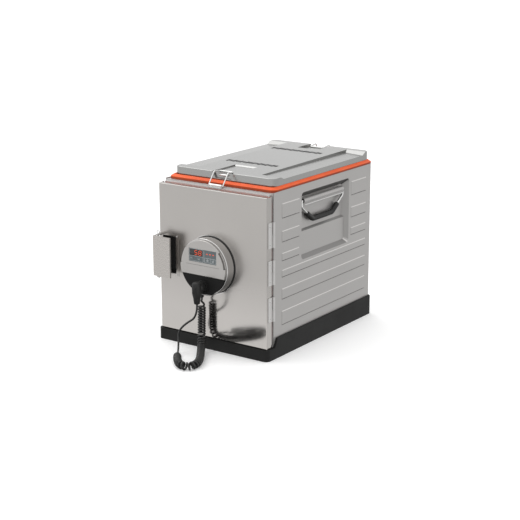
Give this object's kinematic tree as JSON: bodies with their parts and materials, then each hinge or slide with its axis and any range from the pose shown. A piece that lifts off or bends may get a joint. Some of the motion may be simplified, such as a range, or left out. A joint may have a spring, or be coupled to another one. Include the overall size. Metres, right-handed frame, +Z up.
{
  "type": "insulated food carrier",
  "caption": "Insulated stainless food carrier with hinged front door, plug-in circulating-air heater, lift-off clamped lid, side handles and a curly power cord.",
  "frame": {"origin": "centre of the flat underside of the base tray", "axes": "+Z up, +X to the right of a user who faces the door, -Y out of the door towards the user"},
  "size_m": [0.4343, 0.8705, 0.5664],
  "materials": {
    "black_plastic": "moulded, fine grain",
    "steel_satin": "satin stainless sheet",
    "steel_bright": "polished stainless",
    "silicone_orange": "smooth silicone",
    "black_rubber": "soft, low sheen",
    "foam": null,
    "display_window": "glossy window panel",
    "keys": "soft touch",
    "circuit_board": "lacquered board",
    "heater_metal": "heat-darkened steel",
    "motor": "painted can"
  },
  "bodies": {
    "carcass": {"base_tray": "black_plastic", "base_screws": "steel_bright", "bottom_pan": "steel_satin", "right_side_panel": "steel_satin", "left_side_panel": "steel_satin", "rear_panel": "steel_satin", "inner_liner": "steel_satin", "pan_runners": "steel_satin", "body_insulation": "foam", "front_frame": "steel_satin", "top_frame": "steel_satin", "body_hinge_leaves": "steel_bright", "hinge_pins": "steel_bright", "clamp_brackets": "steel_bright", "latch_keeper": "steel_bright", "right_handle_bracket": "steel_bright", "left_handle_bracket": "steel_bright", "handle_bushings": "black_rubber"},
    "door": {"door_outer_skin": "steel_satin", "door_inner_skin": "steel_satin", "door_insulation": "foam", "door_gasket": "silicone_orange", "door_hinge_leaves": "steel_bright", "latch_base_plate": "steel_satin", "latch_grip_cup": "black_plastic", "latch_pin": "steel_bright", "heater_collar": "steel_satin", "heater_gasket": "black_rubber", "heater_drum": "steel_satin", "control_housing": "steel_satin", "connector_bay": "black_plastic", "power_socket": "black_rubber", "display_window": "display_window", "control_board": "circuit_board", "heater_tube": "steel_satin", "heating_element": "heater_metal", "fan_motor": "motor", "fan_guard": "steel_satin", "cord_gland": "black_rubber", "curly_cord": "black_rubber", "cord_lead": "black_rubber", "parked_plug": "black_rubber"},
    "latch_lever": {"latch_lever": "steel_satin"},
    "latch_hook": {"latch_hook": "steel_bright"},
    "impeller": {"fan_impeller": "black_plastic"},
    "lid": {"lid_shell": "steel_satin", "lid_inner_pan": "steel_satin", "lid_insulation": "foam", "lid_seal": "silicone_orange"},
    "front_clamp_bail": {"front_clamp_bail": "steel_bright"},
    "rear_clamp_bail": {"rear_clamp_bail": "steel_bright"},
    "right_handle": {"right_handle_bail": "steel_bright", "right_handle_grip": "black_rubber"},
    "left_handle": {"left_handle_bail": "steel_bright", "left_handle_grip": "black_rubber"},
    "up_key": {"key_up": "keys"},
    "down_key": {"key_down": "keys"},
    "program_key": {"key_program": "keys"},
    "power_key": {"key_power": "keys"}
  },
  "joints": [
    {"name": "door_hinge", "type": "hinge", "parent": "carcass", "child": "door", "pos_m": [0.2112, -0.2735, 0.28], "axis": [0, 0, 1], "range_deg": [0, 120]},
    {"name": "latch_lever_pivot", "type": "hinge", "parent": "door", "child": "latch_lever", "pos_m": [-0.19, -0.3365, 0.287], "axis": [0, 0, -1], "range_deg": [0, 50]},
    {"name": "latch_hook_pivot", "type": "hinge", "parent": "door", "child": "latch_hook", "pos_m": [-0.2143, -0.297, 0.285], "axis": [0, 0, 1], "range_deg": [0, 25]},
    {"name": "impeller_spin", "type": "hinge", "parent": "door", "child": "impeller", "pos_m": [0, -0.287, 0.279], "axis": [0, -1, 0], "continuous": true},
    {"name": "lid_lift", "type": "slide", "parent": "carcass", "child": "lid", "axis": [0, 0, 1], "range_m": [0, 0.07]},
    {"name": "front_bail_pivot", "type": "hinge", "parent": "carcass", "child": "front_clamp_bail", "pos_m": [0, -0.2825, 0.526], "axis": [1, 0, 0], "range_deg": [0, 135.1]},
    {"name": "rear_bail_pivot", "type": "hinge", "parent": "carcass", "child": "rear_clamp_bail", "pos_m": [0, 0.336, 0.526], "axis": [-1, 0, 0], "range_deg": [0, 135.1]},
    {"name": "right_handle_swing", "type": "hinge", "parent": "carcass", "child": "right_handle", "pos_m": [0.2, 0, 0.469], "axis": [0, -1, 0], "range_deg": [0, 95]},
    {"name": "left_handle_swing", "type": "hinge", "parent": "carcass", "child": "left_handle", "pos_m": [-0.2, 0, 0.469], "axis": [0, 1, 0], "range_deg": [0, 95]},
    {"name": "up_key_press", "type": "slide", "parent": "door", "child": "up_key", "axis": [0, 1, 0], "range_m": [0, 0.0008], "stiffness_N_per_m": 250},
    {"name": "down_key_press", "type": "slide", "parent": "door", "child": "down_key", "axis": [0, 1, 0], "range_m": [0, 0.0008], "stiffness_N_per_m": 250},
    {"name": "program_key_press", "type": "slide", "parent": "door", "child": "program_key", "axis": [0, 1, 0], "range_m": [0, 0.0008], "stiffness_N_per_m": 250},
    {"name": "power_key_press", "type": "slide", "parent": "door", "child": "power_key", "axis": [0, 1, 0], "range_m": [0, 0.0008], "stiffness_N_per_m": 250}
  ],
  "couplings": [
    {"joint": "latch_hook_pivot", "follows": "latch_lever_pivot", "ratio": 0.5},
    {"joint": "front_bail_pivot", "follows": "lid_lift", "rad_per_m": 33.66},
    {"joint": "rear_bail_pivot", "follows": "lid_lift", "rad_per_m": 33.66}
  ]
}
